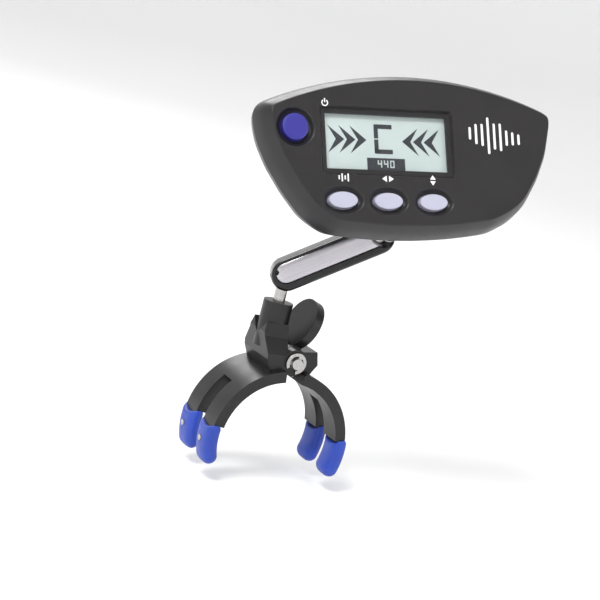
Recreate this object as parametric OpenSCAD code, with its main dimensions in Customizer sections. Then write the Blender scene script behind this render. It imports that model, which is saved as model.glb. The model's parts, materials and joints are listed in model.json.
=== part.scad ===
// Clip-on tuner: a sprung clip grips the instrument, a ball stud swivels in its post,
// a short arm rides on the stud, and a second ball stud carries the tuner head.
// The origin is the middle of the gripped instrument body. Y runs along the instrument.

/* [Clip] */
// Diameter of the instrument body in the closed jaws
grip_d = 34; // [33:0.5:35]
// Radial thickness of the jaws
jaw_t = 3; // [2.6:0.1:3.2]
// Width of the jaws along the instrument
jaw_w = 19; // [18:0.5:20]
// Width of the handles along the instrument
handle_w = 15; // [14.6:0.1:15.4]
// Diameter of the hinge pin
pin_d = 3; // [2.8:0.1:3.2]
// Diameter of the thumb paddle
paddle_d = 14; // [13:0.1:14.4]

/* [Ball joints] */
// Diameter of both balls
ball_d = 6; // [5.8:0.1:6]
// Diameter of the stud in the clip's post
stud_d = 3.2; // [3:0.1:3.3]
// Height of the lower ball above the instrument's middle
ball_z = 44; // [43.6:0.1:45]

/* [Arm] */
// Distance between the centres of the two balls
arm_len = 26; // [26:0.5:30]
// Rise of the arm above level
arm_rise = 36; // [34:1:40]
// Turn of the arm about the post
arm_turn = -22; // [-24:1:-20]

/* [Head] */
// Depth of the head from front to back
head_t = 13; // [13:0.1:14]
// Wall of the head's shells
wall = 1.6; // [1.4:0.1:1.8]
// Lean of the head away from upright
head_lean = -22; // [-24:1:-20]
// Roll of the head in its own plane
head_roll = -10; // [-12:1:-8]
// Turn of the head about the vertical
head_turn = -6; // [-8:1:-4]
// Travel left above the buttons' switches
press_gap = 0.8; // [0.6:0.1:0.9]

/* [Hidden] */

$fn = 64;
hull_fn = 32;
fit = 0.05;
gap = 0.3;
cut = 0.1;

grip_r = grip_d / 2;
jaw_r = grip_r + jaw_t;
pin_z = grip_r + 5;
pin_r = pin_d / 2;
knuckle_r = 3.6;
ear_in = 4.5;
ear_out = handle_w / 2;
inner_ear_in = 2.2;
inner_ear_out = ear_in - gap;
open_r = knuckle_r + gap;
slot_w = 5;
slot_start = 0.38;
tine_end = 18;
pad_step = 1;
pad_t = 1.2;
pad_in_angle = 9;
pad_out_angle = 20;
peg_angle = 184;
peg_r = 0.8;
post_x = -5.5;
post_r = 4;
post_top = 36.3;
stud_r = stud_d / 2;
stud_foot = 25.5;
paddle_dir = 70;
paddle_reach = 9.8;
paddle_t = 2.6;
paddle_stem_w = 7.4;
spring_wire = 0.35;
spring_r = 2.3;

ball_r = ball_d / 2;
neck_r = 1.2;
arm_low = 4.5;
arm_high = 4;
plate_low = 2.2;
plate_high = 3.4;
arm_half_depth = 4;
cavity_low = 3.3;
cavity_high = 3.4;
cavity_back = 2.7;
plate_t = 1;
slot_half = 1.9;
rivet_xs = [6.5, 20.5];
rivet_r = 0.8;

seam = 0.6;
edge_r = 4;
seam_gap = 0.02;
front_y = -head_t / 2;
back_y = head_t / 2;
mount_u = 1.5;
mount_v = -16.6;
ball_back = 15;
boss_r = 2.6;
window_u = -3.5;
window_v = 3.4;
window_w = 36.5;
window_h = 16.9;
lens_w = 34.5;
lens_h = 15.5;
power_u = -28.3;
power_v = 6.3;
power_r = 3.4;
oval_us = [-16.5, -4.3, 8.1];
oval_v = -11.7;
oval_w = 7.6;
oval_h = 4.1;
dish_rim = 1.5;
dish_depth = 0.9;
board_y = 1.2;
board_t = 1.2;
switch_t = 1.2;
cell_r = 10;
cell_u = -4;
cell_v = 6;
cover_r = 11.4;
screw_spots = [[-22, 14.2], [33, 11], [28, -11], [-24.3, -8.5]];
screw_r = 1;
screw_boss_r = 2;
back_boss_y = 3;

// ---- helpers ----

// Sector of a ring about the instrument, from angle a to angle b, w wide along Y
module ring_sector(r_in, r_out, a, b, w) {
    far = r_out * 2;
    rotate([90, 0, 0])
        linear_extrude(height = w, center = true)
            intersection() {
                difference() {
                    circle(r = r_out, $fn = 128);
                    circle(r = r_in, $fn = 128);
                }
                polygon(concat([[0, 0]], [for (i = [0:4])
                    let (t = a + (b - a) * i / 4) [far * cos(t), far * sin(t)]]));
            }
}

// Round bar along Y through a point of the XZ plane
module y_bar(x, z, r, w) {
    translate([x, 0, z])
        rotate([90, 0, 0])
            cylinder(r = r, h = w, center = true);
}

// Flat outline in the XZ plane, w wide along Y
module y_plate(points, w) {
    rotate([90, 0, 0])
        linear_extrude(height = w, center = true)
            polygon(points);
}

// Repeats its children in front and behind, mirrored in the middle plane
module both_sides() {
    for (side = [0, 1])
        mirror([0, side, 0])
            children();
}

// Places its children in the arm's own frame: X to the upper ball, Z across the arm
module in_arm() {
    translate([post_x, 0, ball_z])
        rotate([0, -arm_rise, arm_turn])
            children();
}

// Places its children in the head's own frame: X across, Z up its face, Y into the head
module in_head() {
    in_arm()
        translate([arm_len, 0, 0])
            rotate([0, arm_rise, 0])
                rotate([0, 0, -arm_turn])
                    rotate([head_lean, head_roll, head_turn])
                        translate([-mount_u, -ball_back, -mount_v])
                            children();
}

// Disc or bar along the head's depth, from depth y0 to depth y1
module head_bar(u, v, r, y0, y1) {
    translate([u, y1, v])
        rotate([90, 0, 0])
            cylinder(r = r, h = y1 - y0);
}

// Block in the head, from depth y0 to depth y1
module head_block(u, v, w, h, y0, y1) {
    translate([u - w / 2, y0, v - h / 2])
        cube([w, y1 - y0, h]);
}

// Extrudes a flat outline of the head's face from depth y0 to depth y1
module head_plate(y0, y1) {
    translate([0, y1, 0])
        rotate([90, 0, 0])
            linear_extrude(height = y1 - y0)
                children();
}

// Ellipse as a polygon
module oval(w, h) {
    polygon([for (i = [0:47]) [w / 2 * cos(i * 7.5), h / 2 * sin(i * 7.5)]]);
}

// Fan-shaped outline of the head, drawn in by the given amount
module head_outline(inset) {
    offset(r = edge_r - inset, $fn = 40)
        intersection() {
            translate([5.2, -77.5])
                circle(r = 95.9, $fn = 180);
            translate([0.5, 119.5])
                circle(r = 136, $fn = 180);
            polygon([[-33, 8.8], [-33, 14], [0, 22], [41.5, 13], [41.5, 11], [40.8, 7.9],
                [39.6, 2.8], [36.9, -3.2], [33, -9.2], [29.7, -11.9], [22.2, -15.5],
                [22, -20], [-18, -20], [-17.4, -15.5], [-19.6, -14.3], [-22.9, -11.9],
                [-26.9, -6.4], [-30.2, -0.55], [-32.3, 4.7]]);
        }
}

// Solid of a shell: a rounded wall from the seam to the flat face
module shell_solid(y_seam, y_face, inset) {
    step = (y_face - y_seam) / abs(y_face - y_seam);
    hull() {
        for (s = [[0, 0], [0.45, 0.25], [0.72, 0.55], [0.9, 0.8], [1, 1]])
            translate([0, y_seam + step * (cut / 2 + seam_gap)
                + (y_face - y_seam - step * (cut + seam_gap)) * s[0], 0])
                rotate([90, 0, 0])
                    linear_extrude(height = cut, center = true)
                        head_outline(inset * s[1] + 0.01);
    }
}

// ---- clip ----

module lever_jaw(a, b) {
    difference() {
        ring_sector(grip_r, jaw_r, a, b, jaw_w);
        ring_sector(grip_r - cut, grip_r + pad_step, b - (tine_end + pad_in_angle) * sign(b - a),
            b + 4 * sign(b - a), jaw_w + 1);
        ring_sector(grip_r - 1, jaw_r + 1, a + (b - a) * slot_start, b + 4 * sign(b - a), slot_w);
    }
}

// Wall of the handle seen from outside, with a V cut round the foot of the post
module notched_wall() {
    rotate([90, 0, 90])
        linear_extrude(height = 30, center = true)
            polygon([[-ear_out, 16], [ear_out, 16], [ear_out, 23.5], [post_r + 0.8, 27.5],
                [post_r - 0.1, 31], [0, 27], [0.1 - post_r, 31], [-post_r - 0.8, 27.5],
                [-ear_out, 23.5]]);
}

module post_lever() {
    color([0.05, 0.05, 0.055])
        difference() {
            union() {
                lever_jaw(98, 180 + tine_end);
                intersection() {
                    y_plate([[-6, 17.2], [-8.4, 22], [-9.7, 28.5], [-9, 33], [-2.6, 33],
                        [-2.6, 25], [0, 25.4], [3, 22], [0, 18.8], [-2, 18.4]], handle_w);
                    notched_wall();
                }
                translate([post_x, 0, 24])
                    cylinder(r = post_r, h = post_top - 24);
                y_bar(0, pin_z, knuckle_r, handle_w);
            }
            y_bar(0, pin_z, open_r, ear_in * 2);
            translate([-1.2, -ear_in, pin_z - open_r])
                cube([6, ear_in * 2, 12]);
            y_bar(0, pin_z, pin_r + 0.02, jaw_w);
            translate([post_x, 0, stud_foot - gap])
                cylinder(r = stud_r + fit, h = 20);
        }
}

module paddle_lever() {
    color([0.05, 0.05, 0.055])
        difference() {
            union() {
                lever_jaw(82, -tine_end);
                y_plate([[2.4, 17.2], [6, 17.2], [8.6, 21.5], [7.6, 25], [3.4, 24.5], [0, 22]],
                    inner_ear_out * 2);
                y_bar(0, pin_z, knuckle_r, inner_ear_out * 2);
                translate([0, 0, pin_z])
                    rotate([0, 90 - paddle_dir, 0])
                        translate([-paddle_t / 2, 0, 0]) {
                            translate([0, -paddle_stem_w / 2, 1])
                                cube([paddle_t, paddle_stem_w, paddle_reach]);
                            translate([0, 0, paddle_reach])
                                rotate([0, 90, 0])
                                    cylinder(r = paddle_d / 2, h = paddle_t);
                        }
            }
            y_bar(0, pin_z, pin_r + fit, jaw_w);
            translate([-5, -inner_ear_in, pin_z - open_r - 1])
                cube([5 + open_r, inner_ear_in * 2, open_r * 2 + 1]);
            both_sides()
                translate([0, jaw_w, pin_z])
                    rotate([90, 0, 0])
                        cylinder(r = open_r, h = jaw_w - inner_ear_out);
        }
}

// Soft boot over the end of one tine, on the side of the post lever
module pad() {
    tine_mid = (jaw_w + slot_w) / 4;
    tine_w = (jaw_w - slot_w) / 2;
    translate([0, tine_mid, 0])
        difference() {
            union() {
                ring_sector(grip_r, jaw_r + pad_t, 180 - pad_in_angle + 2, 180 + pad_out_angle,
                    tine_w + 1.2);
                ring_sector(grip_r + 0.6, jaw_r + pad_t - 0.6, 180 + pad_out_angle - 1,
                    180 + pad_out_angle + 4, tine_w);
            }
            ring_sector(grip_r + pad_step, jaw_r, 160, 180 + tine_end, tine_w);
            pad_peg_hole();
        }
}

// Hole for the small stud through a pad's outer wall
module pad_peg_hole() {
    rotate([0, 90 - peg_angle, 0])
        cylinder(r = peg_r, h = 60);
}

module pad_stud() {
    tine_mid = (jaw_w + slot_w) / 4;
    translate([0, tine_mid, 0])
        rotate([0, 90 - peg_angle, 0])
            translate([0, 0, jaw_r])
                cylinder(r = peg_r, h = pad_t + 0.3);
}

module post_side_pads() {
    color([0.12, 0.25, 0.75])
        both_sides()
            pad();
}

module paddle_side_pads() {
    color([0.12, 0.25, 0.75])
        mirror([1, 0, 0])
            both_sides()
                pad();
}

module post_side_studs() {
    color([0.6, 0.6, 0.62])
        both_sides()
            pad_stud();
}

module paddle_side_studs() {
    color([0.6, 0.6, 0.62])
        mirror([1, 0, 0])
            both_sides()
                pad_stud();
}

module hinge_pin() {
    groove_y = ear_out + 0.1;
    color([0.72, 0.7, 0.68])
        difference() {
            y_bar(0, pin_z, pin_r, handle_w + 3);
            both_sides()
                translate([0, groove_y + 0.6, pin_z])
                    rotate([90, 0, 0])
                        difference() {
                            cylinder(r = pin_r + 1, h = 0.6);
                            cylinder(r = pin_r - 0.35, h = 0.6);
                        }
        }
}

// Open retaining ring in the XZ plane with three prongs into the pin's groove
module e_clip() {
    ring_in = 1.95;
    ring_out = 2.9;
    translate([0, -(ear_out + 0.15), pin_z])
        rotate([90, 25, 0])
            linear_extrude(height = 0.5)
                difference() {
                    union() {
                        difference() {
                            circle(r = ring_out);
                            circle(r = ring_in);
                        }
                        for (a = [90, 200, -20])
                            rotate(a)
                                translate([pin_r - 0.33, -0.55])
                                    square([ring_in - pin_r + 0.6, 1.1]);
                    }
                    polygon([[0, 0], [-3, -5], [3, -5]]);
                }
}

module front_e_clip() {
    color([0.72, 0.68, 0.66])
        e_clip();
}

module rear_e_clip() {
    color([0.72, 0.68, 0.66])
        mirror([0, 1, 0])
            e_clip();
}

// Coiled wire: rings of points along a helix about the pin, with a straight leg at each end
spring_turns = 3;
spring_pitch = 1.05;
spring_steps = 54;
spring_sides = 6;
spring_start = 205;
spring_len = spring_turns * 360 + 130;

function spring_point(i) =
    let (t = i / spring_steps, a = spring_start + t * spring_len,
        y = (t - 0.5) * spring_pitch * spring_len / 360)
    [spring_r * cos(a), y, spring_r * sin(a)];

function spring_ring(i) =
    let (a = spring_start + i / spring_steps * spring_len)
    [for (k = [0:spring_sides - 1])
        let (b = k * 360 / spring_sides)
        spring_point(i) + spring_wire * [cos(b) * cos(a), sin(b), cos(b) * sin(a)]];

module torsion_spring() {
    n = spring_sides;
    last = spring_steps * n;
    points = [for (i = [0:spring_steps]) each spring_ring(i)];
    sides = [for (i = [0:spring_steps - 1], k = [0:n - 1])
        [i * n + k, i * n + (k + 1) % n, (i + 1) * n + (k + 1) % n, (i + 1) * n + k]];
    ends = [[for (k = [n - 1:-1:0]) k], [for (k = [0:n - 1]) last + k]];
    color([0.7, 0.7, 0.7])
        translate([0, 0, pin_z])
            polyhedron(points = points, faces = concat(sides, ends));
}

// ---- stud and arm ----

module lower_ball_stud() {
    color([0.75, 0.75, 0.76])
        translate([post_x, 0, 0]) {
            translate([0, 0, ball_z])
                sphere(r = ball_r);
            translate([0, 0, stud_foot])
                cylinder(r = stud_r, h = ball_z - stud_foot - ball_r * 0.6);
        }
}

// Outline of the arm in its own XZ plane, with round ends about both balls
module arm_outline(low, high) {
    r = (low + high) / 2;
    mid = (high - low) / 2;
    translate([0, mid])
        circle(r = r);
    translate([arm_len, mid])
        circle(r = r);
    translate([0, mid - r])
        square([arm_len, 2 * r]);
}

// Extrudes the arm's outline from depth y0 to depth y1
module arm_plate(y0, y1) {
    translate([0, y1, 0])
        rotate([90, 0, 0])
            linear_extrude(height = y1 - y0)
                children();
}

// Gap in the lower end of the arm that the stud swings through
module stud_gap() {
    swing = [0, 90];
    arm_plate(-slot_half, slot_half)
        polygon(concat([[0, 0]], [for (i = [0:6])
            let (t = swing[0] + (swing[1] - swing[0]) * i / 6 + (i == 0 ? -24 : 0)
                + (i == 6 ? 20 : 0))
            [-9 * sin(t), -9 * cos(t)]]));
}

// Cone of space at the upper ball, along the direction of the head's stud
module head_cone() {
    in_head()
        translate([mount_u, ball_back, mount_v])
            rotate([90, 0, 0])
                cylinder(r1 = 0.5, r2 = 9.5, h = 9);
}

// Hollows in the arm for both balls
module ball_spaces() {
    for (x = [0, arm_len])
        translate([x, 0, 0])
            sphere(r = ball_r + fit);
}

module arm_channel() {
    color([0.04, 0.04, 0.045])
        difference() {
            in_arm()
                difference() {
                    arm_plate(-arm_half_depth, arm_half_depth)
                        arm_outline(arm_low, arm_high);
                    arm_plate(-arm_half_depth - cut, -arm_half_depth + 0.2 + plate_t)
                        arm_outline(plate_low, plate_high);
                    arm_plate(-arm_half_depth + 0.1 + plate_t, cavity_back)
                        arm_outline(cavity_low, cavity_high);
                    stud_gap();
                    for (x = rivet_xs)
                        translate([x, 0, 0])
                            rotate([90, 0, 0])
                                cylinder(r = rivet_r, h = 20, center = true);
                    ball_spaces();
                }
            head_cone();
        }
}

module arm_face_plate() {
    color([0.78, 0.77, 0.8])
        difference() {
            in_arm()
                difference() {
                    arm_plate(-arm_half_depth + 0.2, -arm_half_depth + 0.2 + plate_t)
                        arm_outline(plate_low, plate_high);
                    stud_gap();
                    arm_plate(-arm_half_depth - 1, 0)
                        translate([-4, 0.9])
                            square([2.4, 1.3]);
                    ball_spaces();
                }
            head_cone();
        }
}

// Plastic seat round one ball, filling the arm's cavity
module ball_cup(x) {
    front = -arm_half_depth + 0.2 + plate_t;
    difference() {
        arm_plate(front, cavity_back)
            intersection() {
                arm_outline(cavity_low, cavity_high);
                translate([x, 0])
                    square([7.6, 12], center = true);
            }
        translate([x, 0, 0])
            sphere(r = ball_r + fit);
    }
}

module lower_ball_cup() {
    color([0.12, 0.12, 0.13])
        in_arm()
            difference() {
                ball_cup(0);
                stud_gap();
            }
}

module upper_ball_cup() {
    color([0.12, 0.12, 0.13])
        difference() {
            in_arm()
                ball_cup(arm_len);
            head_cone();
        }
}

// Two rivets that draw the face plate down on the ball cups
module arm_rivets() {
    color([0.8, 0.7, 0.45])
        in_arm()
            for (x = rivet_xs)
                translate([x, arm_half_depth, 0])
                    rotate([90, 0, 0]) {
                        cylinder(r = rivet_r, h = 2 * arm_half_depth - 0.2 - plate_t);
                        translate([0, 0, -0.5])
                            cylinder(r = rivet_r + 0.6, h = 0.5);
                    }
}

module upper_ball_stud() {
    color([0.75, 0.75, 0.76])
        in_head() {
            translate([mount_u, ball_back, mount_v])
                sphere(r = ball_r);
            head_bar(mount_u, mount_v, neck_r, back_y + 1, ball_back - ball_r * 0.6);
            head_bar(mount_u, mount_v, stud_r, back_y - 4, back_y + 2);
            head_bar(mount_u, mount_v, 2.9, back_y + gap, back_y + 1.5);
        }
}

module upper_stud_ring() {
    color([0.7, 0.7, 0.7])
        in_head()
            difference() {
                head_bar(mount_u, mount_v, 2.2, back_y - 3.6, back_y - 2.8);
                head_bar(mount_u, mount_v, stud_r, back_y - 4, back_y);
            }
}

// ---- head ----

module front_shell() {
    color([0.09, 0.09, 0.095])
        in_head()
            difference() {
                union() {
                    difference() {
                        shell_solid(seam, front_y, 2.8);
                        shell_inner(seam, front_y + wall, 2.8);
                    }
                    for (p = screw_spots)
                        head_bar(p[0], p[1], screw_boss_r, front_y + 1, back_boss_y - 0.05);
                }
                for (p = screw_spots)
                    head_bar(p[0], p[1], screw_r + 0.03, -2.6, back_y);
                head_block(window_u, window_v, window_w, window_h, front_y - 1, front_y + 1);
                head_block(window_u, window_v, lens_w - 1.4, lens_h - 1.4, front_y - 1, 0);
                head_bar(power_u, power_v, power_r + dish_rim, front_y - 1, front_y + dish_depth);
                head_bar(power_u, power_v, power_r + gap, front_y - 1, 0);
                for (u = oval_us) {
                    translate([u, 0, oval_v])
                        head_plate(front_y - 1, front_y + dish_depth)
                            oval(oval_w + 2 * dish_rim, oval_h + 2 * dish_rim);
                    translate([u, 0, oval_v])
                        head_plate(front_y - 1, 0)
                            oval(oval_w + 2 * gap, oval_h + 2 * gap);
                }
            }
}

// Space inside a shell
module shell_inner(y_seam, y_face, inset) {
    step = (y_face - y_seam) / abs(y_face - y_seam);
    head_plate(min(y_seam - step * 0.2, y_face), max(y_seam - step * 0.2, y_face))
        head_outline(inset * 0.6 + 1.5);
}

module back_shell() {
    color([0.09, 0.09, 0.095])
        in_head()
            difference() {
                union() {
                    difference() {
                        shell_solid(seam, back_y, 2.2);
                        shell_inner(seam, back_y - wall, 2.2);
                    }
                    head_bar(mount_u, mount_v, boss_r, back_y - 2.7, back_y - 1.5);
                    for (p = screw_spots)
                        head_bar(p[0], p[1], screw_boss_r, back_boss_y, back_y - 1);
                }
                head_bar(mount_u, mount_v, stud_r + fit, 0, back_y + 1);
                head_bar(mount_u, mount_v, 2.4, 0, back_y - 2.75);
                head_bar(cell_u, cell_v, cover_r + 0.2, back_y - 1.1, back_y + 1);
                head_bar(cell_u, cell_v, cell_r + 0.3, 0, back_y + 1);
                for (p = screw_spots) {
                    head_bar(p[0], p[1], screw_r + 0.1, 0, back_y + 1);
                    head_bar(p[0], p[1], screw_r + 0.9, back_y - 1, back_y + 1);
                }
            }
}

module display_lens() {
    color([0.8, 0.86, 0.84, 0.4])
        in_head()
            head_block(window_u, window_v, lens_w, lens_h, front_y + wall + 0.05,
                front_y + wall + 0.65);
}

module display_glass() {
    color([0.7, 0.78, 0.76])
        in_head()
            head_block(window_u, window_v, lens_w - 0.6, lens_h - 0.6, front_y + wall + 0.7,
                front_y + wall + 2.1);
}

module display_frame() {
    color([0.1, 0.1, 0.1])
        in_head()
            difference() {
                head_block(window_u, window_v, lens_w + 2, lens_h + 1.6, front_y + wall + 0.05,
                    board_y - 0.05);
                head_block(window_u, window_v, lens_w + 0.1, lens_h + 0.1, front_y,
                    front_y + wall + 2.15);
                head_block(window_u, window_v, lens_w - 3, lens_h - 1, 0 - head_t, board_y + 1);
            }
}

module contact_strips() {
    color([0.85, 0.5, 0.55])
        in_head()
            for (side = [-1, 1])
                head_block(window_u, window_v + side * (lens_h / 2 - 1.7), lens_w - 6, 1.6,
                    front_y + wall + 2.15, board_y - 0.05);
}

module circuit_board() {
    color([0.1, 0.35, 0.18])
        in_head()
            difference() {
                head_plate(board_y, board_y + board_t)
                    head_outline(6);
                head_bar(mount_u, mount_v, 3.4, board_y - 1, board_y + 3);
                for (p = screw_spots)
                    head_bar(p[0], p[1], screw_boss_r + 0.3, board_y - 1, board_y + 3);
            }
}

module tuner_chip() {
    color([0.05, 0.05, 0.05])
        in_head()
            head_block(20.5, 3, 8, 8, board_y - 1.4, board_y - 0.02);
}

module switches() {
    color([0.75, 0.75, 0.75])
        in_head() {
            for (u = oval_us)
                head_block(u, oval_v, 4, 4, board_y - switch_t, board_y - 0.02);
            head_block(power_u, power_v, 4, 4, board_y - switch_t, board_y - 0.02);
        }
}

module piezo_disc() {
    color([0.8, 0.7, 0.35])
        in_head()
            head_bar(20, 0, 6, back_y - wall - 0.5, back_y - wall - 0.05);
}

module coin_cell() {
    color([0.8, 0.8, 0.82])
        in_head()
            head_bar(cell_u, cell_v, cell_r, board_y + board_t + 0.35,
                board_y + board_t + 0.35 + 2.5);
}

module cell_contacts() {
    color([0.8, 0.65, 0.3])
        in_head() {
            head_block(cell_u, cell_v, 8, 3, board_y + board_t + 0.02, board_y + board_t + 0.3);
            head_block(cell_u + cell_r + 0.9, cell_v, 1, 5, board_y + board_t + 0.02, 4.4);
        }
}

module battery_cover() {
    color([0.09, 0.09, 0.095])
        in_head()
            difference() {
                head_bar(cell_u, cell_v, cover_r, back_y - 1.05, back_y);
                head_bar(cell_u, cell_v + 8.2, screw_r + 0.05, 0, back_y + 1);
            }
}

module battery_cover_screw() {
    color([0.3, 0.3, 0.32])
        in_head() {
            head_bar(cell_u, cell_v + 8.2, screw_r, back_y - 1.05, back_y);
            difference() {
                head_bar(cell_u, cell_v + 8.2, 1.6, back_y, back_y + 0.5);
                head_block(cell_u, cell_v + 8.2, 2.2, 0.5, back_y + 0.2, back_y + 1);
            }
        }
}

module case_screws() {
    color([0.3, 0.3, 0.32])
        in_head()
            for (p = screw_spots)
                difference() {
                    union() {
                        head_bar(p[0], p[1], screw_r, -2.4, back_y - 0.5);
                        head_bar(p[0], p[1], screw_r + 0.8, back_y - 0.98, back_y - 0.2);
                    }
                    head_block(p[0], p[1], 2.4, 0.5, back_y - 0.5, back_y);
                }
}

// Button cap with a flange behind the shell and a stem down to its switch
module power_button() {
    color([0.15, 0.15, 0.6])
        in_head() {
            head_bar(power_u, power_v, power_r, front_y - 0.3, front_y + wall + gap);
            head_bar(power_u, power_v, power_r + 1, front_y + wall + 0.1, front_y + wall + 0.9);
            head_bar(power_u, power_v, 1.2, front_y + wall, board_y - switch_t - press_gap - 0.1);
        }
}

module mode_button(u) {
    color([0.72, 0.72, 0.78])
        in_head()
            translate([u, 0, oval_v]) {
                head_plate(front_y - 0.1, front_y + wall + gap)
                    oval(oval_w, oval_h);
                head_plate(front_y + wall + 0.1, front_y + wall + 0.9)
                    oval(oval_w + 1.6, oval_h + 1.6);
                head_bar(0, 0, 1.2, front_y + wall, board_y - switch_t - press_gap - 0.1);
            }
}

module left_button() {
    mode_button(oval_us[0]);
}

module middle_button() {
    mode_button(oval_us[1]);
}

module right_button() {
    mode_button(oval_us[2]);
}

post_lever();
paddle_lever();
post_side_pads();
paddle_side_pads();
post_side_studs();
paddle_side_studs();
hinge_pin();
front_e_clip();
rear_e_clip();
torsion_spring();
lower_ball_stud();
arm_channel();
arm_face_plate();
lower_ball_cup();
upper_ball_cup();
arm_rivets();
upper_ball_stud();
upper_stud_ring();
front_shell();
back_shell();
display_lens();
display_glass();
display_frame();
contact_strips();
circuit_board();
tuner_chip();
switches();
piezo_disc();
coin_cell();
cell_contacts();
battery_cover();
battery_cover_screw();
case_screws();
power_button();
left_button();
middle_button();
right_button();
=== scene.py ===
import json
import math

import bmesh
import bpy
from mathutils import Matrix, Vector

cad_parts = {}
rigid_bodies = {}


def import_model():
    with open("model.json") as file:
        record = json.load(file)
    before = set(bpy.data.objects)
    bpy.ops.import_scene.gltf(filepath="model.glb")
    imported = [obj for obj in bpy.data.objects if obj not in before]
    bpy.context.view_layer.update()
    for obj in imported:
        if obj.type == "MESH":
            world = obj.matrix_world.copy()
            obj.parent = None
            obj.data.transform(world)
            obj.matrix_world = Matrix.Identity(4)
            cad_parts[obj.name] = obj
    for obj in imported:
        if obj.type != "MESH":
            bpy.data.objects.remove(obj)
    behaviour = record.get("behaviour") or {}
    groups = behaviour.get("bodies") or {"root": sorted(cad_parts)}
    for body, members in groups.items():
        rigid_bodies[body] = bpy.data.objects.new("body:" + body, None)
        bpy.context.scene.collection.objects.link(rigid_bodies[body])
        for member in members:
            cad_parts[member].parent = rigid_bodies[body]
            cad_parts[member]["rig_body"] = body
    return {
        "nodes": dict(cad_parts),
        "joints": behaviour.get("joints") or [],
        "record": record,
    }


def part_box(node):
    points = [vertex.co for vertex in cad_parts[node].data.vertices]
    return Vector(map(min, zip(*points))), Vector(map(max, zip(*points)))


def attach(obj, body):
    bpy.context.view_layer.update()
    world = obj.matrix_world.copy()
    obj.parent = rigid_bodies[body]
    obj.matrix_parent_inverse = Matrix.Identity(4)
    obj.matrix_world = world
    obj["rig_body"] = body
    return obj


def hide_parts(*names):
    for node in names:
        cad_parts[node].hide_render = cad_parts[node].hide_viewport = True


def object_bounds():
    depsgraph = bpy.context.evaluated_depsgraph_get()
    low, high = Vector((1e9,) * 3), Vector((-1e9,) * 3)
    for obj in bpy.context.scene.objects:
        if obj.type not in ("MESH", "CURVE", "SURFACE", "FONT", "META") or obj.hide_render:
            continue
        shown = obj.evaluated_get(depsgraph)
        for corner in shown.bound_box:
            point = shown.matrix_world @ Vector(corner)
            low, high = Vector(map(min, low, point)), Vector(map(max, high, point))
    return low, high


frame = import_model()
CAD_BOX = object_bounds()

bl_info = {
    "name": "Clip-on Tuner",
    "version": (1, 0, 0),
    "blender": (4, 5, 0),
    "location": "3D View > Sidebar > Tuner",
    "description": "Builds the finished look of a clip-on tuner round its working parts",
    "category": "Add Mesh",
}

MM = 0.001
JOINTS = {j["name"]: j for j in frame["joints"]}


# ---- axes of the head and the arm, taken from the joints ----

class Axes:
    """A local frame: x across, y into the piece, z up its face, lengths in millimetres."""

    def __init__(self, origin, x, y, z):
        self.origin = Vector(origin)
        self.x, self.y, self.z = x.normalized(), y.normalized(), z.normalized()

    def at(self, x, y, z):
        return self.origin + (self.x * x + self.y * y + self.z * z) * MM

    def local(self, point):
        d = (Vector(point) - self.origin) / MM
        return Vector((d.dot(self.x), d.dot(self.y), d.dot(self.z)))

    def box(self, node):
        """Lowest and highest local corner of a working part."""
        points = [self.local(v.co) for v in frame["nodes"][node].data.vertices]
        low = Vector([min(p[i] for p in points) for i in range(3)])
        high = Vector([max(p[i] for p in points) for i in range(3)])
        return low, high

    def centre(self, node):
        low, high = self.box(node)
        return (low + high) / 2


def head_axes():
    normal = Vector(JOINTS["head_spin"]["axis"])
    across = Vector(JOINTS["head_tilt"]["axis"])
    return Axes(JOINTS["head_spin"]["pos_m"], across, -normal, normal.cross(across))


def arm_axes():
    low, high = Vector(JOINTS["arm_tilt"]["pos_m"]), Vector(JOINTS["head_tilt"]["pos_m"])
    along = (high - low).normalized()
    facing = Vector(JOINTS["arm_tilt"]["axis"])
    return Axes(low, along, -facing, facing.cross(along))


HEAD = head_axes()
ARM = arm_axes()
ROW = Axes((0, 0, 0), Vector((1, 0, 0)), Vector((0, 1, 0)), Vector((0, 0, 1)))


# ---- settings ----

class TunerSettings(bpy.types.PropertyGroup):
    wall: bpy.props.FloatProperty(
        name="Case wall", description="Thickness of the case, in millimetres", default=1.6)
    face_inset: bpy.props.FloatProperty(
        name="Face inset", description="How far the flat face stands in from the rim, in mm",
        default=2.8)
    dish: bpy.props.FloatProperty(
        name="Dish rim", description="Width of the dish round each button, in mm", default=1.5)
    case_color: bpy.props.FloatVectorProperty(
        name="Case", description="Colour of the head's case", subtype="COLOR",
        default=(0.017, 0.0155, 0.0165))
    clip_color: bpy.props.FloatVectorProperty(
        name="Clip", description="Colour of the clip's levers", subtype="COLOR",
        default=(0.010, 0.0095, 0.0105))
    rail_color: bpy.props.FloatVectorProperty(
        name="Arm", description="Colour of the arm's channel", subtype="COLOR",
        default=(0.004, 0.004, 0.0045))
    pad_color: bpy.props.FloatVectorProperty(
        name="Pads", description="Colour of the soft jaw pads", subtype="COLOR",
        default=(0.010, 0.045, 0.36))
    power_color: bpy.props.FloatVectorProperty(
        name="Power button", description="Colour of the round button", subtype="COLOR",
        default=(0.030, 0.028, 0.24))
    mode_color: bpy.props.FloatVectorProperty(
        name="Mode buttons", description="Colour of the oval buttons", subtype="COLOR",
        default=(0.42, 0.42, 0.52))
    display_color: bpy.props.FloatVectorProperty(
        name="Display", description="Colour of the unlit display", subtype="COLOR",
        default=(0.47, 0.53, 0.52))


def settings():
    return bpy.context.scene.tuner


# ---- materials ----

def new_material(name):
    made = bpy.data.materials.new(name)
    made.use_nodes = True
    tree = made.node_tree
    return made, tree, tree.nodes["Principled BSDF"]


def add(tree, kind, **values):
    node = tree.nodes.new(kind)
    for key, value in values.items():
        setattr(node, key, value)
    return node


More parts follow.
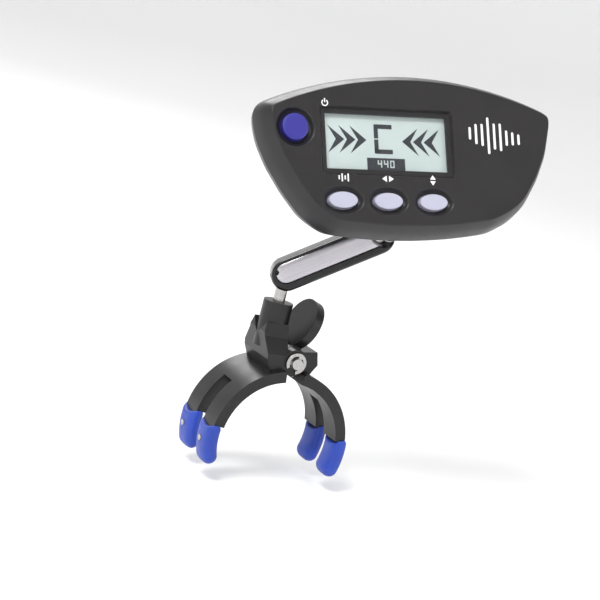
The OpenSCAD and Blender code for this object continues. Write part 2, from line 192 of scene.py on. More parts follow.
def coordinates(tree, stretch=(1, 1, 1)):
    place = add(tree, "ShaderNodeTexCoord")
    mapping = add(tree, "ShaderNodeMapping")
    mapping.inputs["Scale"].default_value = stretch
    tree.links.new(place.outputs["Object"], mapping.inputs["Vector"])
    return mapping.outputs["Vector"]


def noise(tree, vector, scale, detail=3.0):
    node = add(tree, "ShaderNodeTexNoise")
    node.inputs["Scale"].default_value = scale
    node.inputs["Detail"].default_value = detail
    tree.links.new(vector, node.inputs["Vector"])
    return node.outputs["Fac"]


def spread(tree, value, low, high):
    node = add(tree, "ShaderNodeMapRange")
    node.inputs["From Min"].default_value = 0.3
    node.inputs["From Max"].default_value = 0.7
    node.inputs["To Min"].default_value = low
    node.inputs["To Max"].default_value = high
    tree.links.new(value, node.inputs["Value"])
    return node.outputs["Result"]


def shades(tree, value, dark, light):
    ramp = add(tree, "ShaderNodeValToRGB")
    ramp.color_ramp.elements[0].position = 0.3
    ramp.color_ramp.elements[1].position = 0.7
    ramp.color_ramp.elements[0].color = (*dark, 1)
    ramp.color_ramp.elements[1].color = (*light, 1)
    tree.links.new(value, ramp.inputs["Fac"])
    return ramp.outputs["Color"]


def scaled(color, factor):
    return tuple(min(1.0, c * factor) for c in color)


def bumped(tree, shader, height, strength, distance):
    bump = add(tree, "ShaderNodeBump")
    bump.inputs["Strength"].default_value = strength
    bump.inputs["Distance"].default_value = distance
    tree.links.new(height, bump.inputs["Height"])
    tree.links.new(bump.outputs["Normal"], shader.inputs["Normal"])


def plastic(name, color, rough, grain=0.10, grain_scale=2600.0, coat=0.0, mottle=0.12,
            gloss=0.4):
    """Moulded plastic: spark-eroded grain, faint cloudy colour and patches of handling gloss."""
    made, tree, shader = new_material(name)
    place = coordinates(tree)
    cloud = noise(tree, place, 90.0, 4.0)
    tree.links.new(shades(tree, cloud, scaled(color, 1 - mottle), scaled(color, 1 + mottle)),
                   shader.inputs["Base Color"])
    wear = noise(tree, place, 260.0, 5.0)
    tree.links.new(spread(tree, wear, rough * 0.88, rough * 1.12), shader.inputs["Roughness"])
    bumped(tree, shader, noise(tree, place, grain_scale, 2.0), grain, 0.00004)
    shader.inputs["Coat Weight"].default_value = coat
    shader.inputs["Coat Roughness"].default_value = 0.12
    shader.inputs["IOR"].default_value = 1.5
    shader.inputs["Specular IOR Level"].default_value = gloss
    return made


def metal(name, color, rough, stretch=(1, 1, 1), line_scale=1600.0, depth=0.12):
    """Bare metal: fine drawn lines in one direction and slightly uneven polish."""
    made, tree, shader = new_material(name)
    lines = noise(tree, coordinates(tree, stretch), line_scale, 4.0)
    tree.links.new(shades(tree, lines, scaled(color, 0.86), scaled(color, 1.08)),
                   shader.inputs["Base Color"])
    cloud = noise(tree, coordinates(tree), 160.0, 3.0)
    tree.links.new(spread(tree, cloud, rough * 0.8, rough * 1.2), shader.inputs["Roughness"])
    bumped(tree, shader, lines, depth, 0.00003)
    shader.inputs["Metallic"].default_value = 1.0
    return made


def brushed_along(name, color, rough, axes):
    """Satin metal brushed along an arm: the noise is stretched along the arm's own length."""
    made, tree, shader = new_material(name)
    place = add(tree, "ShaderNodeTexCoord")
    mapping = add(tree, "ShaderNodeMapping", vector_type="TEXTURE")
    turn = Matrix((axes.x, axes.y, axes.z)).transposed().to_euler()
    mapping.inputs["Rotation"].default_value = turn
    squeeze = add(tree, "ShaderNodeMapping")
    squeeze.inputs["Scale"].default_value = (60, 1800, 1800)
    tree.links.new(place.outputs["Object"], mapping.inputs["Vector"])
    tree.links.new(mapping.outputs["Vector"], squeeze.inputs["Vector"])
    lines = noise(tree, squeeze.outputs["Vector"], 1.0, 3.0)
    tree.links.new(shades(tree, lines, scaled(color, 0.9), scaled(color, 1.06)),
                   shader.inputs["Base Color"])
    tree.links.new(spread(tree, lines, rough * 0.85, rough * 1.15), shader.inputs["Roughness"])
    bumped(tree, shader, lines, 0.10, 0.00002)
    shader.inputs["Metallic"].default_value = 1.0
    return made


def soft_rubber(name, color):
    """Soft jaw rubber: matte and slightly velvety."""
    made, tree, shader = new_material(name)
    place = coordinates(tree)
    cloud = noise(tree, place, 120.0, 4.0)
    tree.links.new(shades(tree, cloud, scaled(color, 0.85), scaled(color, 1.15)),
                   shader.inputs["Base Color"])
    tree.links.new(spread(tree, noise(tree, place, 500.0), 0.42, 0.58),
                   shader.inputs["Roughness"])
    bumped(tree, shader, noise(tree, place, 1500.0, 4.0), 0.14, 0.00005)
    shader.inputs["Sheen Weight"].default_value = 0.1
    shader.inputs["Sheen Roughness"].default_value = 0.5
    return made


def display_finish_with_painted_glow(name, color):
    """Liquid crystal panel: pale, slightly cloudy, with a fine haze and a faint painted glow."""
    made, tree, shader = new_material(name)
    place = coordinates(tree)
    cloud = noise(tree, place, 26.0, 2.0)
    tree.links.new(shades(tree, cloud, scaled(color, 0.90), scaled(color, 1.12)),
                   shader.inputs["Base Color"])
    tree.links.new(spread(tree, noise(tree, place, 900.0), 0.30, 0.38),
                   shader.inputs["Roughness"])
    bumped(tree, shader, noise(tree, place, 3000.0, 2.0), 0.03, 0.00002)
    # Painted glow: a weak emission in the panel's own colour makes the unlit display shine a
    # little.
    shader.inputs["Emission Color"].default_value = (*color, 1)
    shader.inputs["Emission Strength"].default_value = 0.08
    return made


def clear_finish(name):
    """Clear acrylic window."""
    made, tree, shader = new_material(name)
    place = coordinates(tree)
    tree.links.new(spread(tree, noise(tree, place, 200.0), 0.02, 0.06),
                   shader.inputs["Roughness"])
    bumped(tree, shader, noise(tree, place, 60.0, 2.0), 0.01, 0.00002)
    shader.inputs["Base Color"].default_value = (0.93, 0.98, 0.97, 1)
    shader.inputs["Transmission Weight"].default_value = 1.0
    shader.inputs["IOR"].default_value = 1.12
    shader.inputs["Alpha"].default_value = 0.30
    return made


def ink(name, color):
    """Pad-printed ink: matte with tiny pinholes."""
    made, tree, shader = new_material(name)
    place = coordinates(tree)
    tree.links.new(shades(tree, noise(tree, place, 1800.0, 2.0), scaled(color, 0.88), color),
                   shader.inputs["Base Color"])
    shader.inputs["Roughness"].default_value = 0.55
    return made


MATERIALS = {}


def make_materials():
    s = settings()
    MATERIALS.update({
        "charcoal_case": plastic("moulded_charcoal_case", s.case_color, 0.36, 0.14, 2400.0),
        "black_clip": plastic("moulded_black_clip", s.clip_color, 0.34, 0.12, 2000.0),
        "black_gloss": plastic("polished_black_channel", s.rail_color, 0.2, 0.05, 1800.0),
        "grey_cup": plastic("grey_ball_cup_nylon", (0.05, 0.05, 0.055), 0.5),
        "blue_rubber": soft_rubber("blue_jaw_rubber", s.pad_color),
        "satin_metal": brushed_along("satin_arm_plate", (0.50, 0.48, 0.515), 0.33, ARM),
        "steel": metal("turned_steel", (0.46, 0.445, 0.44), 0.24),
        "dark_steel": metal("blackened_screw_steel", (0.13, 0.13, 0.135), 0.38),
        "brass": metal("bright_brass", (0.78, 0.60, 0.28), 0.28),
        "clear_lens": clear_finish("clear_display_window"),
        "display": display_finish_with_painted_glow("pale_display_panel", s.display_color),
        "segment": ink("dark_display_segment", (0.035, 0.037, 0.045)),
        "print": ink("white_pad_print", (0.85, 0.85, 0.86)),
        "pink_rubber": soft_rubber("pink_contact_strip_rubber", (0.6, 0.28, 0.3)),
        "board_green": plastic("green_board_lacquer", (0.02, 0.14, 0.05), 0.3, 0.1, 900.0, 0.4),
        "blue_button": plastic("blue_power_button", s.power_color, 0.38, 0.06, 2200.0, 0.1, 0.05),
        "grey_button": plastic("grey_mode_button", s.mode_color, 0.40, 0.06, 2200.0, 0.1, 0.04),
    })


SLOTS = {p["node"]: p["material_slot"] for p in frame["record"]["subparts"]}


# ---- mesh tools ----

def mesh_object(name, points, faces):
    mesh = bpy.data.meshes.new(name)
    mesh.from_pydata([tuple(p) for p in points], [], faces)
    mesh.validate()
    shape = bmesh.new()
    shape.from_mesh(mesh)
    bmesh.ops.recalc_face_normals(shape, faces=shape.faces)
    shape.to_mesh(mesh)
    shape.free()
    made = bpy.data.objects.new(name, mesh)
    bpy.context.scene.collection.objects.link(made)
    return made


def loft(name, rings):
    """Skin over rings of equal length, with a cap on each end."""
    count = len(rings[0])
    points = [p for ring in rings for p in ring]
    faces = []
    for i in range(len(rings) - 1):
        for k in range(count):
            after = (k + 1) % count
            faces.append((i * count + k, i * count + after,
                          (i + 1) * count + after, (i + 1) * count + k))
    faces.append(tuple(reversed(range(count))))
    faces.append(tuple(range((len(rings) - 1) * count, len(rings) * count)))
    return mesh_object(name, points, faces)


def applied(piece):
    """Turns a piece's modifiers into real mesh."""
    graph = bpy.context.evaluated_depsgraph_get()
    graph.update()
    mesh = bpy.data.meshes.new_from_object(piece.evaluated_get(graph))
    piece.modifiers.clear()
    piece.data = mesh
    return piece


def carve(piece, *cutters):
    for cutter in cutters:
        change = piece.modifiers.new("carve", "BOOLEAN")
        change.operation = "DIFFERENCE"
        change.solver = "EXACT"
        change.object = cutter
        applied(piece)
        bpy.data.objects.remove(cutter)
    return piece


def smooth(piece, angle=38.0, bevel=0.0, weld=False):
    """Rounds sharp edges a little and keeps flat faces flat in the shading."""
    if weld:
        piece.modifiers.new("weld", "WELD").merge_threshold = 0.000002
    else:
        piece.data.shade_smooth()
        piece.data.set_sharp_from_angle(angle=math.radians(angle))
    if bevel:
        edge = piece.modifiers.new("soft_edges", "BEVEL")
        edge.width = bevel * MM
        edge.segments = 3
        edge.limit_method = "ANGLE"
        edge.angle_limit = math.radians(angle)
        edge.use_clamp_overlap = True
    even = piece.modifiers.new("even_shading", "WEIGHTED_NORMAL")
    even.keep_sharp = True
    return piece


def finish_piece(piece, body, slot, material=None, replaces=()):
    """Gives a made piece its finish, its body and the working parts that it stands for."""
    piece.data.materials.clear()
    piece.data.materials.append(MATERIALS[material or slot])
    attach(piece, body)
    if replaces:
        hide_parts(*replaces)
    return piece


def dress(node, bevel=0.15, angle=38.0, material=None):
    """Keeps a working part as it is, with its finish and softened edges."""
    part = frame["nodes"][node]
    part.data.materials.clear()
    part.data.materials.append(MATERIALS[material or SLOTS[node]])
    smooth(part, angle, bevel, weld=True)


def body_named(node):
    return frame["nodes"][node]["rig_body"]


# ---- outlines: each returns a ring of (x, z) grown or shrunk by an amount in mm ----

def round_outline(x, z, radius, count=96):
    def ring(grow):
        r = max(radius + grow, 0.02)
        return [(x + r * math.cos(2 * math.pi * k / count),
                 z + r * math.sin(2 * math.pi * k / count)) for k in range(count)]
    return ring


def oval_outline(x, z, half_w, half_h, count=96):
    def ring(grow):
        a, b = max(half_w + grow, 0.4), max(half_h + grow, 0.05)
        return [(x + a * math.cos(2 * math.pi * k / count),
                 z + b * math.sin(2 * math.pi * k / count)) for k in range(count)]
    return ring


def window_outline(x, z, half_w, half_h, corner, count=6):
    def ring(grow):
        a, b = half_w + grow, half_h + grow
        r = max(corner + grow * 0.5, 0.15)
        out = []
        for sx, sz, start in ((1, 1, 0), (-1, 1, 90), (-1, -1, 180), (1, -1, 270)):
            for k in range(count + 1):
                t = math.radians(start + 90 * k / count)
                out.append((x + sx * (a - r) + r * math.cos(t),
                            z + sz * (b - r) + r * math.sin(t)))
        return out
    return ring


def hull_2d(points):
    """Convex outline of flat points, anticlockwise."""
    points = sorted(set(points))

    def half(run):
        out = []
        for p in run:
            while len(out) > 1 and ((out[-1][0] - out[-2][0]) * (p[1] - out[-2][1])
                                    - (out[-1][1] - out[-2][1]) * (p[0] - out[-2][0])) <= 0:
                out.pop()
            out.append(p)
        return out[:-1]
    return half(points) + half(points[::-1])


def even_ring(points, count):
    """The same closed outline with evenly spaced points."""
    lengths = [math.dist(points[i], points[(i + 1) % len(points)]) for i in range(len(points))]
    total = sum(lengths)
    out, edge, walked = [], 0, 0.0
    for k in range(count):
        target = total * k / count
        while walked + lengths[edge] < target:
            walked += lengths[edge]
            edge += 1
        t = (target - walked) / lengths[edge]
        a, b = points[edge], points[(edge + 1) % len(points)]
        out.append((a[0] + (b[0] - a[0]) * t, a[1] + (b[1] - a[1]) * t))
    return out


def relax(ring, rounds):
    n = len(ring)
    for _ in range(rounds):
        ring = [((ring[k - 1][0] + 2 * ring[k][0] + ring[(k + 1) % n][0]) / 4,
                 (ring[k - 1][1] + 2 * ring[k][1] + ring[(k + 1) % n][1]) / 4)
                for k in range(n)]
    return ring


def head_outline(node, count=240):
    """Outline of one of the head's shells at its rim, as a function of growth."""
    flat = [HEAD.local(v.co) for v in frame["nodes"][node].data.vertices]
    hull = hull_2d([(round(p.x, 4), round(p.z, 4)) for p in flat])
    base = relax(even_ring(hull, count), 4)
    normals = []
    for k in range(count):
        a, b = base[k - 1], base[(k + 1) % count]
        dx, dz = b[0] - a[0], b[1] - a[1]
        length = math.hypot(dx, dz)
        normals.append((dz / length, -dx / length))

    def ring(grow):
        return [(p[0] + q[0] * grow, p[1] + q[1] * grow) for p, q in zip(base, normals)]
    return ring


def stack(name, outline, steps, axes=HEAD):
    """Solid from an outline drawn at each (depth, growth) step."""
    return loft(name, [[axes.at(x, depth, z) for x, z in outline(grow)]
                       for depth, grow in steps])


# ---- the head's case ----

# how far along from the rim to the flat face, and how much of the face's inset is reached
SHELL_PROFILE = ((0.0, 0.0), (0.12, 0.06), (0.25, 0.13), (0.45, 0.26), (0.6, 0.41),
                 (0.72, 0.56), (0.82, 0.70), (0.9, 0.82), (0.95, 0.89), (0.985, 0.96),
                 (1.0, 1.04))
# gap between the two halves of the case; the front half's screw posts reach past it
SEAM_GAP = 0.04
BACK_INSET = 2.2


def shell_steps(seam, face, inset):
    """Steps of a rounded shell from its seam to its flat face."""
    return [(seam + (face - seam) * t, -inset * s) for t, s in SHELL_PROFILE]


def dished(outline, face, wall, rim):
    """Cutter for a scooped dish round a button, with a clear hole through the wall."""
    steps = [(face - 0.3, rim + 0.5), (face + 0.04, rim + 0.16), (face + 0.12, rim + 0.02),
             (face + 0.32, rim - 0.14), (face + 0.65, rim - 0.36), (face + 0.95, rim - 0.66),
             (face + 1.12, rim - 0.98), (face + 1.2, 0.28), (face + wall + 0.5, 0.26)]
    return stack("dish", outline, steps)


def build_front_case():
    s = settings()
    face = HEAD.box("front_shell")[0].y
    seam = HEAD.box("back_shell")[0].y - SEAM_GAP
    outline = head_outline("front_shell")
    case = stack("case_front", outline, shell_steps(seam, face, s.face_inset))
    hollow = stack("hollow", outline, [(face + s.wall, -s.face_inset - 0.9),
                                       (face + s.wall * 2, -s.face_inset + 0.2),
                                       (seam - 1.5, -s.wall - 0.2), (seam + 1, -s.wall)])
    lens = HEAD.box("display_lens")
    mid = (lens[0] + lens[1]) / 2
    half_w, half_h = (lens[1].x - lens[0].x) / 2, (lens[1].z - lens[0].z) / 2
    frame_ring = window_outline(mid.x, mid.z, half_w, half_h, 0.5)
    window = stack("window", frame_ring, [(face - 0.3, 1.3), (face + 0.05, 0.95),
                                          (face + 0.2, 0.85), (face + 1.03, 0.45),
                                          (face + 1.08, -0.7), (face + s.wall + 0.5, -0.75)])
    cutters = [hollow, window]
    for node in ("power_button", *MODE_BUTTONS):
        cutters.append(dished(button_outline(node), face, s.wall, s.dish))
    carve(case, *cutters)
    smooth(case, 32.0, 0.12)
    return finish_piece(case, "head", "charcoal_case", replaces=("front_shell",))


def build_back_case():
    low, high = HEAD.box("back_shell")
    seam, back = low.y, high.y
    wall = settings().wall
    outline = head_outline("back_shell")
    case = stack("case_back", outline, shell_steps(seam, back, BACK_INSET))
    hollow = stack("hollow", outline, [(seam - 1, -wall), (seam + 1.5, -wall),
                                       (back - wall * 2, -2.0), (back - wall, -3.0)])
    cover = HEAD.box("battery_cover")
    mid, radius = (cover[0] + cover[1]) / 2, (cover[1].x - cover[0].x) / 2
    seat = stack("seat", round_outline(mid.x, mid.z, radius),
                 [(back - 1.1, 0.2), (back - 0.2, 0.2), (back + 0.2, 0.6)])
    through = stack("through", round_outline(mid.x, mid.z, radius - 1.1),
                    [(seam, 0), (back, 0)])
    stud = stack("stud_hole", round_outline(0, 0, 1.65), [(seam, 0), (back + 1, 0)])
    carve(case, hollow, seat, through, stud)
    for x, z in screw_places():
        bore = stack("bore", round_outline(x, z, 1.1), [(seam, 0), (back + 1, 0)])
        sink = stack("sink", round_outline(x, z, 1.9), [(back - 1, 0), (back - 0.15, 0),
                                                        (back + 0.2, 0.35)])
        carve(case, bore, sink)
    smooth(case, 32.0, 0.12)
    return finish_piece(case, "head", "charcoal_case", replaces=("back_shell",))


def screw_places():
    """Centres of the case screws, found as the separate clusters of their points."""
    centres = []
    for v in frame["nodes"]["case_screws"].data.vertices:
        p = HEAD.local(v.co)
        for group in centres:
            if math.hypot(group[0][0] - p.x, group[0][1] - p.z) < 6:
                group.append((p.x, p.z))
                break
        else:
            centres.append([(p.x, p.z)])
    return [((min(p[0] for p in g) + max(p[0] for p in g)) / 2,
             (min(p[1] for p in g) + max(p[1] for p in g)) / 2) for g in centres]


# ---- buttons ----

MODE_BUTTONS = ("left_button", "middle_button", "right_button")
POWER_LEDGE = 1.0
MODE_LEDGE = 0.8


def button_outline(node):
    """Outline of a button's cap, which its hidden ledge stands out from."""
    low, high = HEAD.box(node)
    mid, half = (low + high) / 2, (high - low) / 2
    if node == "power_button":
        return round_outline(mid.x, mid.z, half.x - POWER_LEDGE)
    return oval_outline(mid.x, mid.z, half.x - MODE_LEDGE, half.z - MODE_LEDGE)


def button_steps(face, wall, rise, foot):
    return [(foot, -1.6), (face + wall + 0.9, -1.6), (face + wall + 0.9, 0.8),
            (face + wall + 0.15, 0.8), (face + wall + 0.1, 0.0), (face + 0.1, 0.0),
            (face - rise * 0.35, -0.06), (face - rise * 0.65, -0.3), (face - rise * 0.85, -0.75),
            (face - rise * 0.95, -1.3), (face - rise, -2.0)]


def build_button(node, name, slot, rise):
    outline = button_outline(node)
    face = HEAD.box("front_shell")[0].y
    foot = HEAD.box(node)[1].y
    cap = stack(name, outline, button_steps(face, settings().wall, rise, foot))
    smooth(cap, 50.0, 0.0)
    return finish_piece(cap, body_named(node), slot, replaces=(node,))


# ---- display ----

def bar(x0, x1, z0, z1):
    return [(x0, z0), (x1, z0), (x1, z1), (x0, z1)]


SEGMENTS = {"4": "fgbc", "0": "abcdef", "C": "afed"}


def segment_bars(letter, x, z, width, height, thick):
    """The lit bars of a segment character whose lower left corner is at x, z."""
    mid = z + height / 2
    gap = thick * 0.12
    bars = {
        "a": bar(x + gap, x + width, z + height - thick, z + height),
        "g": bar(x + gap, x + width, mid - thick / 2, mid + thick / 2),
        "d": bar(x + gap, x + width, z, z + thick),
        "f": bar(x, x + thick, mid + gap, z + height - gap),
        "e": bar(x, x + thick, z + gap, mid - gap),
        "b": bar(x + width - thick, x + width, mid + gap, z + height - gap),
        "c": bar(x + width - thick, x + width, z + gap, mid - gap),
    }
    return [bars[key] for key in SEGMENTS[letter]]


def merge(name, parts):
    """Joins separate pieces into one object."""
    mesh = bpy.data.meshes.new(name)
    joined = bmesh.new()
    for part in parts:
        part.data.transform(part.matrix_world)
        joined.from_mesh(part.data)
        bpy.data.objects.remove(part)
    joined.to_mesh(mesh)
    joined.free()
    made = bpy.data.objects.new(name, mesh)
    bpy.context.scene.collection.objects.link(made)
    return made


def flats(name, outlines, front, thickness, slot, material):
    """Several thin raised shapes as one piece."""
    parts = []
    for points in outlines:
        parts.append(loft("flat", [[HEAD.at(x, front, z) for x, z in points],
                                   [HEAD.at(x, front - thickness, z) for x, z in points]]))
    return finish_piece(merge(name, parts), "head", slot, material)


def build_display():
    glass = HEAD.box("display_glass")
    mid = (glass[0] + glass[1]) / 2
    front = glass[0].y
    outline = window_outline(mid.x, mid.z, (glass[1].x - glass[0].x) / 2,
                             (glass[1].z - glass[0].z) / 2, 0.3)
    panel = stack("display_panel", outline, [(glass[1].y, 0), (front + 0.1, 0), (front, -0.1)])
    smooth(panel, 30.0)
    finish_piece(panel, "head", "display", replaces=("display_glass",))
    x, z = mid.x, mid.z
    arrows = []
    for k in range(3):
        left = x - 15.6 + 3.0 * k
        right = x + 15.2 - 3.0 * k
        for start, way in ((left, 1), (right, -1)):
            arrows.append([(start, z + 4.4), (start + way * 4.5, z + 0.8),
                           (start, z - 2.8), (start + way * 2.2, z + 0.8)])
    flats("display_arrows", arrows, front, 0.04, "display", "segment")
    flats("display_note", segment_bars("C", x - 3.0, z - 2.6, 5.0, 7.6, 1.15), front, 0.04,
          "display", "segment")
    flats("display_number_plate", [bar(x - 5.2, x + 5.2, z - 6.8, z - 3.7)], front, 0.04,
          "display", "segment")
    digits = []
    for k, letter in enumerate("440"):
        digits += segment_bars(letter, x - 2.35 + 1.7 * k, z - 6.15, 1.2, 1.9, 0.32)
    flats("display_numbers", digits, front - 0.04, 0.03, "display", "display")


# ---- plain printed symbols ----

def ring_arc(x, z, r_in, r_out, start, end, count=20):
    outer = [(x + r_out * math.cos(math.radians(start + (end - start) * k / count)),
              z + r_out * math.sin(math.radians(start + (end - start) * k / count)))
             for k in range(count + 1)]
    inner = [(x + r_in * math.cos(math.radians(start + (end - start) * k / count)),
              z + r_in * math.sin(math.radians(start + (end - start) * k / count)))
             for k in range(count + 1)]
    return outer + inner[::-1]


def build_prints():
    face = HEAD.box("front_shell")[0].y
    power = HEAD.centre("power_button")
    px, pz = power.x + 8.0, power.z + 6.4
    shapes = [ring_arc(px, pz, 0.62, 0.9, -235, 55),
              bar(px - 0.14, px + 0.14, pz + 0.1, pz + 1.15)]
    left, middle, right = (HEAD.centre(n) for n in MODE_BUTTONS)
    rise = 5.6
    shapes += [bar(left.x - 1.1 + 0.8 * k, left.x - 0.75 + 0.8 * k,
                   left.z + rise - 0.5 * (1 + k % 2), left.z + rise + 0.5 * (1 + k % 2))
               for k in range(4)]
    shapes += [[(middle.x - 1.6, middle.z + rise), (middle.x - 0.3, middle.z + rise + 0.8),
                (middle.x - 0.3, middle.z + rise - 0.8)],
               [(middle.x + 1.6, middle.z + rise), (middle.x + 0.3, middle.z + rise - 0.8),
                (middle.x + 0.3, middle.z + rise + 0.8)]]
    shapes += [[(right.x - 0.8, right.z + rise + 0.2), (right.x + 0.8, right.z + rise + 0.2),
                (right.x, right.z + rise + 1.3)],
               [(right.x + 0.8, right.z + rise - 0.2), (right.x - 0.8, right.z + rise - 0.2),
                (right.x, right.z + rise - 1.3)]]
    flats("face_symbols", shapes, face + 0.01, 0.05, "charcoal_case", "print")
    lens = HEAD.box("display_lens")
    x0, z0 = lens[1].x + 5.6, (lens[0].z + lens[1].z) / 2 + 3.2
    waves = []
    for k in range(9):
        tall = 1.0 + 3.6 * math.exp(-((k - 3.4) / 2.4) ** 2) * (1.0 if k % 2 else 0.62)
        cx, half = x0 + 1.75 * k, 0.34
        waves.append([(cx + half * math.cos(math.radians(a)),
                       z0 - 0.14 * k + (tall if a < 180 else -tall)
                       + half * math.sin(math.radians(a)))
                      for a in list(range(0, 181, 30)) + list(range(180, 360, 30)) + [359]])
    flats("face_wave_mark", waves, face + 0.01, 0.05, "charcoal_case", "print")


# ---- arm ----

def capsule(low, high, length, mid_points=10, end_points=16):
    """Outline with round ends about x = 0 and x = length, from -low to high across."""
    radius, mid = (low + high) / 2, (high - low) / 2
    out = []
    for k in range(end_points + 1):
        a = math.radians(-90 + 180 * k / end_points)
        out.append((length + radius * math.cos(a), mid + radius * math.sin(a)))
    for k in range(1, mid_points):
        out.append((length * (1 - k / mid_points), mid + radius))
    for k in range(end_points + 1):
        a = math.radians(90 + 180 * k / end_points)
        out.append((radius * math.cos(a), mid + radius * math.sin(a)))
    for k in range(1, mid_points):
        out.append((length * k / mid_points, mid - radius))
    return out


def arm_stack(name, steps, length):
    """Solid along the arm's depth from (depth, low, high) steps."""
    return loft(name, [[ARM.at(x, depth, z) for x, z in capsule(low, high, length)]
                       for depth, low, high in steps])


def head_clearance():
    return mesh_cone("clear", HEAD.at(0, 0, 0), -HEAD.y, 0.5, 9.5, 9.0)


def build_arm_channel():
    """Channel: glossy, with a full round on its lower rail and a thin lip above the plate."""
    low, high = ARM.box("arm_channel")
    plate_low, plate_high = ARM.box("arm_face_plate")
    length = (Vector(JOINTS["head_tilt"]["pos_m"]) - ARM.origin).length / MM
    below, above = -low.z, high.z
    front, back = low.y, high.y
    body = arm_stack("arm_body", [
        (front, below - 1.35, above - 0.3), (front + 0.12, below - 0.95, above - 0.16),
        (front + 0.4, below - 0.55, above - 0.05), (front + 0.85, below - 0.24, above),
        (front + 1.5, below - 0.06, above), (front + 2.3, below, above),
        (back - 1.2, below, above), (back - 0.5, below - 0.15, above - 0.15),
        (back - 0.12, below - 0.55, above - 0.5), (back, below - 1.1, above - 0.9)], length)
    lip_low, lip_high = -plate_low.z + 0.04, plate_high.z + 0.04
    pocket = arm_stack("pocket", [(front - 1, lip_low, lip_high),
                                  (front + 1.25, lip_low, lip_high)], length)
    room = arm_stack("room", [(front + 1.2, 3.3, 3.4), (back - 1.3, 3.3, 3.4)], length)
    swing = loft("swing", [[ARM.at(x, y, z) for x, z in (
        (0, 0), (3.7, -8.2), (-0.5, -9), (-4.7, -7.7), (-7.7, -4.7), (-9, -0.4), (-8.5, 3.1))]
        for y in (-1.9, 1.9)])
    carve(body, pocket, room, swing, head_clearance())
    smooth(body, 40.0)
    return finish_piece(body, "arm", "black_gloss", replaces=("arm_channel",))


def build_arm_plate():
    """Satin plate: a long bar with round ends and a crowned face, notched at one end."""
    low, high = ARM.box("arm_face_plate")
    front, back = low.y, high.y
    length = (Vector(JOINTS["head_tilt"]["pos_m"]) - ARM.origin).length / MM
    below, above = -low.z, high.z
    crown = []
    for k in range(11):
        a = math.radians(90 * k / 10)
        crown.append((front + 0.3 - 0.6 * math.sin(a), below - 1.9 * (1 - math.cos(a)),
                      above - 1.9 * (1 - math.cos(a))))
    plate = arm_stack("arm_face", [(back, below, above), *crown[:-1]], length)
    notch = loft("notch", [[ARM.at(x, y, z) for x, z in (
        (low.x - 1, 1.0), (low.x + 0.7, 1.0), (low.x + 1.3, 1.5), (low.x + 1.1, 2.3),
        (low.x - 1, 2.4))] for y in (front - 2, back + 1)])
    carve(plate, notch, head_clearance())
    smooth(plate, 50.0)
    return finish_piece(plate, "arm", "satin_metal", replaces=("arm_face_plate",))


def mesh_cone(name, tip, direction, r0, r1, length, count=64):
    side = direction.orthogonal().normalized()
    other = direction.cross(side)
    rings = []
    for t, r in ((0, r0), (1, r1)):
        centre = tip + direction * length * MM * t
        rings.append([centre + (side * math.cos(2 * math.pi * k / count)
                                + other * math.sin(2 * math.pi * k / count)) * r * MM
                      for k in range(count)])
    return loft(name, rings)


# ---- jaw pads ----

def superellipse(t, power):
    c, s = math.cos(t), math.sin(t)
    return (math.copysign(abs(c) ** (2 / power), c), math.copysign(abs(s) ** (2 / power), s))


GRIP_R = 17.0
PAD_ANGLES = (170.5, 203.9)
PAD_HALF_W = 4.05
PAD_CLOSING = 0.79
PAD_RINGS = 48
PAD_SIDES = 48


def build_pads(node, name, side):
    """Soft boots on the tine ends: a bulb below, and above it two lobes round the tine."""
    low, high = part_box(node)
    outer = max(abs(low.x), abs(high.x)) / MM
    half_y = (high.y - low.y) / MM / 2
    inner, tine_middle = GRIP_R, half_y - 4.1
    start, end = PAD_ANGLES
    pods = []
    for where in (-1, 1):
        rings = []
        for i in range(PAD_RINGS + 1):
            t = 1 - (1 - i / PAD_RINGS) ** 1.5
            shut = max(0.0, (t - PAD_CLOSING) / (1 - PAD_CLOSING))
            closing = math.sqrt(max(0.0, 1 - shut ** 2))
            opening = 0.8 + 0.2 * math.sqrt(min(1.0, t / 0.07))
            swell = max(closing * opening, 0.05)
            thick = (outer - inner) / 2 * swell
            half_w = PAD_HALF_W * (0.3 + 0.7 * closing) * (0.94 + 0.06 * opening)
            ring = []
            for k in range(PAD_SIDES):
                a, b = superellipse(2 * math.pi * k / PAD_SIDES, 2.7)
                # the top edge dips in the middle and rises into a lobe on each side
                dip = 4.5 * (1 - b * b) * (1 - t) ** 3
                angle = math.radians(start + (end - start) * t + dip)
                r = (inner + outer) / 2 + thick * a * (1 + 0.05 * b * where)
                ring.append(ROW.at(side * r * math.cos(angle),
                                   where * tine_middle + half_w * b, r * math.sin(angle)))
            rings.append(ring)
        pods.append(loft("pod", rings))
    pads = merge(name, pods)
    smooth(pads, 60.0)
    return finish_piece(pads, body_named(node), "blue_rubber", replaces=(node,))


# ---- operators ----

class TUNER_OT_case(bpy.types.Operator):
    """Builds the head's front and back case and the printed symbols"""
    bl_idname = "tuner.build_case"
    bl_label = "Case"

    def execute(self, context):
        build_front_case()
        build_back_case()
        build_prints()
        dress("battery_cover", 0.2)
        dress("battery_cover_screw", 0.08)
        dress("case_screws", 0.08)
        return {"FINISHED"}


class TUNER_OT_buttons(bpy.types.Operator):
    """Builds the round power button and the three oval buttons"""
    bl_idname = "tuner.build_buttons"
    bl_label = "Buttons"

    def execute(self, context):
        build_button("power_button", "power_cap", "blue_button", 0.3)
        for node in MODE_BUTTONS:
            build_button(node, node.replace("button", "oval_cap"), "grey_button", 0.1)
        return {"FINISHED"}


class TUNER_OT_display(bpy.types.Operator):
    """Builds the display panel, its arrows, note and numbers, and finishes its window"""
    bl_idname = "tuner.build_display"
    bl_label = "Display"

    def execute(self, context):
        build_display()
        dress("display_lens", 0.1)
        dress("display_frame", 0.1)
        return {"FINISHED"}


